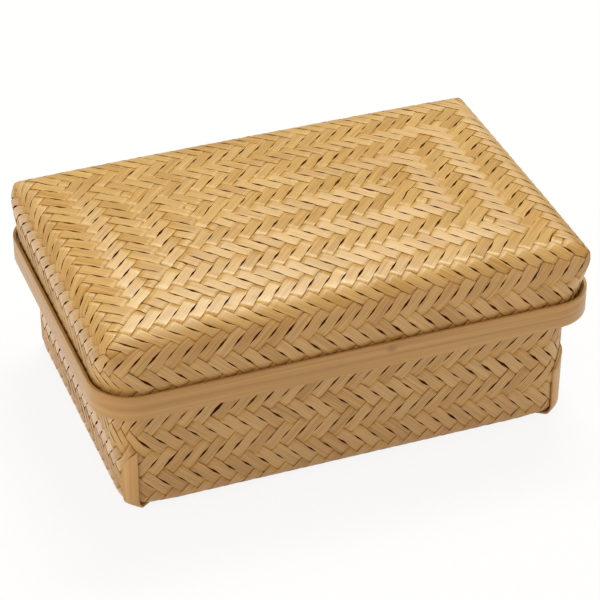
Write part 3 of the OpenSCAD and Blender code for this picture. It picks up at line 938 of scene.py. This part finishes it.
def brace(name, node, turn, hop):
    """A brace strip in place of the CAD one."""
    bpy.ops.object.select_all(action="DESELECT")
    bpy.ops.mesh.primitive_grid_add(x_subdivisions=2 * BRACE_COLUMNS, y_subdivisions=BRACE_ROWS, size=2)
    piece = bpy.context.active_object
    piece.name = piece.data.name = name
    path = brace_path(hop)
    length = np.concatenate([[0], np.cumsum(np.linalg.norm(np.diff(path, axis=0), axis=1))])
    whole = length[-1] - (path[-1][1] - tuck_height)
    flat = {}
    for vertex in piece.data.vertices:
        u, t = vertex.co.x, vertex.co.y * BRACE_WIDTH / 2
        place = abs(u) * (whole + math.copysign(1, u) * t * abs(u))
        out = np.interp(place, length, path[:, 0])
        height = np.interp(place, length, path[:, 1])
        pressed = float(smooth((out - brace_end + brace_foot) / brace_foot))
        reach = corner_reach(math.copysign(1, u * turn) * t, height)
        out += pressed * (reach - brace_end - brace_slope * height)
        along = math.copysign(out, u)
        flat[vertex.index] = (math.copysign(place, u) * MM, t * MM)
        vertex.co = ((along * math.cos(turn) - t * math.sin(turn)) * MM,
                     (along * math.sin(turn) + t * math.cos(turn)) * MM, height * MM)
    uv = piece.data.uv_layers.active or piece.data.uv_layers.new(name="UVMap")
    for loop in piece.data.loops:
        uv.data[loop.index].uv = flat[loop.vertex_index]
    only(piece)
    bpy.ops.object.mode_set(mode="EDIT")
    bpy.ops.mesh.select_all(action="SELECT")
    bpy.ops.mesh.flip_normals()
    bpy.ops.object.mode_set(mode="OBJECT")
    finish_band(piece, BRACE_THICKNESS, BRACE_SOFT_EDGE, segments=2, even=False)
    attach(piece, "body")
    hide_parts(node)
    return piece


for name, node, turn, hop in (("lower_brace_strip", "lower_brace", brace_turn, 0),
                              ("upper_brace_strip", "upper_brace", -brace_turn, BRACE_THICKNESS + BRACE_GAP)):
    piece = brace(name, node, turn, hop)
    piece.data.materials.append(brace_bamboo)
    print(piece.name, len(piece.data.polygons), "faces")

# %% [markdown]
# ## Studio lights
# The main softbox stands high behind the box, to the right, so that the fibres on the lid throw its
# light towards the camera. A warm light from the left and a faint one from the front keep the walls
# readable, and a soft one above the front only adds to the colour and shows in no reflection.

# %% Light the box
AIM = (0, 0, 0.05)


def softbox(name, place, size, power, colour):
    """A rectangular light that points at the box."""
    light = bpy.data.lights.new(name, "AREA")
    light.shape = "RECTANGLE"
    light.size, light.size_y = size
    light.energy, light.color = power, linear(colour)[:3]
    lamp = bpy.data.objects.new(name, light)
    lamp.location = place
    direction = np.array(AIM) - np.array(place)
    lamp.rotation_euler = (math.acos(-direction[2] / np.linalg.norm(direction)), 0,
                           math.atan2(direction[1], direction[0]) - math.pi / 2)
    bpy.context.scene.collection.objects.link(lamp)
    return lamp


softbox("softbox_above", place=(0.3, 0.51, 1.13), size=(0.7, 0.35), power=11.3, colour="#fafcee")
softbox("softbox_left", place=(-0.9, -0.1, 0.45), size=(0.5, 0.5), power=3.7, colour="#fbe9dc")
diffuser = softbox("softbox_front", place=(0.3, -0.15, 1.1), size=(0.4, 0.4), power=1.5, colour="#fff0cc")
diffuser.visible_glossy = False
softbox("card_front", place=(0.35, -1.0, 0.5), size=(0.6, 0.6), power=1.8, colour="#ffd4d0")
print(len(bpy.data.lights), "lights are set")

# %% [markdown]
# ## White surroundings
# The box stands on a white sweep. White surroundings fill the shadows a little, and the weave's own
# small shadows draw its pattern. To the camera and in reflections, the floor is mostly plain white,
# and the rest keeps the soft shadow under the box.

# %% Set the background and the floor
WHITE = (1, 1, 1, 1)
FILL = 0.3              # light that the surroundings give
GLOSS_FILL = 0.4        # how bright they are in reflections
CLEAN = 0.88            # share of plain white that is seen of the floor, the rest keeps the shadow
FLOOR_SIZE = 8
FLOOR_DROP = 0.2 * MM   # the floor lies this far under the braces, so that no faces coincide

world = bpy.data.worlds.new("studio")
bpy.context.scene.world = world
world.use_nodes = True
sky = world.node_tree
rays = add(sky, "ShaderNodeLightPath").outputs
fill = add(sky, "ShaderNodeMapRange", (rays["Is Glossy Ray"], 0, 1, FILL, GLOSS_FILL)).outputs["Result"]
strength = add(sky, "ShaderNodeMath", (fill, rays["Is Camera Ray"]), operation="MAXIMUM").outputs["Value"]
sky.links.new(strength, sky.nodes["Background"].inputs["Strength"])
sky.nodes["Background"].inputs["Color"].default_value = WHITE

bpy.ops.object.select_all(action="DESELECT")
bpy.ops.mesh.primitive_plane_add(size=FLOOR_SIZE, location=(0, 0, -FLOOR_DROP))
floor = bpy.context.active_object
floor.name = "floor"
# Matt white paper: no gloss, and it shows a soft grey only where the box shades it
paper, tree, surface = new_material("white_paper_sweep")
surface.inputs["Base Color"].default_value = linear("#f4f3f1")
surface.inputs["Roughness"].default_value = 0.9
rays = add(tree, "ShaderNodeLightPath").outputs
seen = add(tree, "ShaderNodeMath", (rays["Is Camera Ray"], rays["Is Glossy Ray"]), operation="MAXIMUM")
clean = add(tree, "ShaderNodeMapRange", (seen.outputs["Value"], 0, 1, 0, CLEAN)).outputs["Result"]
glow = add(tree, "ShaderNodeEmission", (WHITE, 1.0)).outputs["Emission"]
mixed = add(tree, "ShaderNodeMixShader", (clean, surface.outputs["BSDF"], glow)).outputs["Shader"]
tree.links.new(mixed, tree.nodes["Material Output"].inputs["Surface"])
floor.data.materials.append(paper)
bpy.context.scene.view_settings.view_transform = "Standard"
print("background and floor are set")
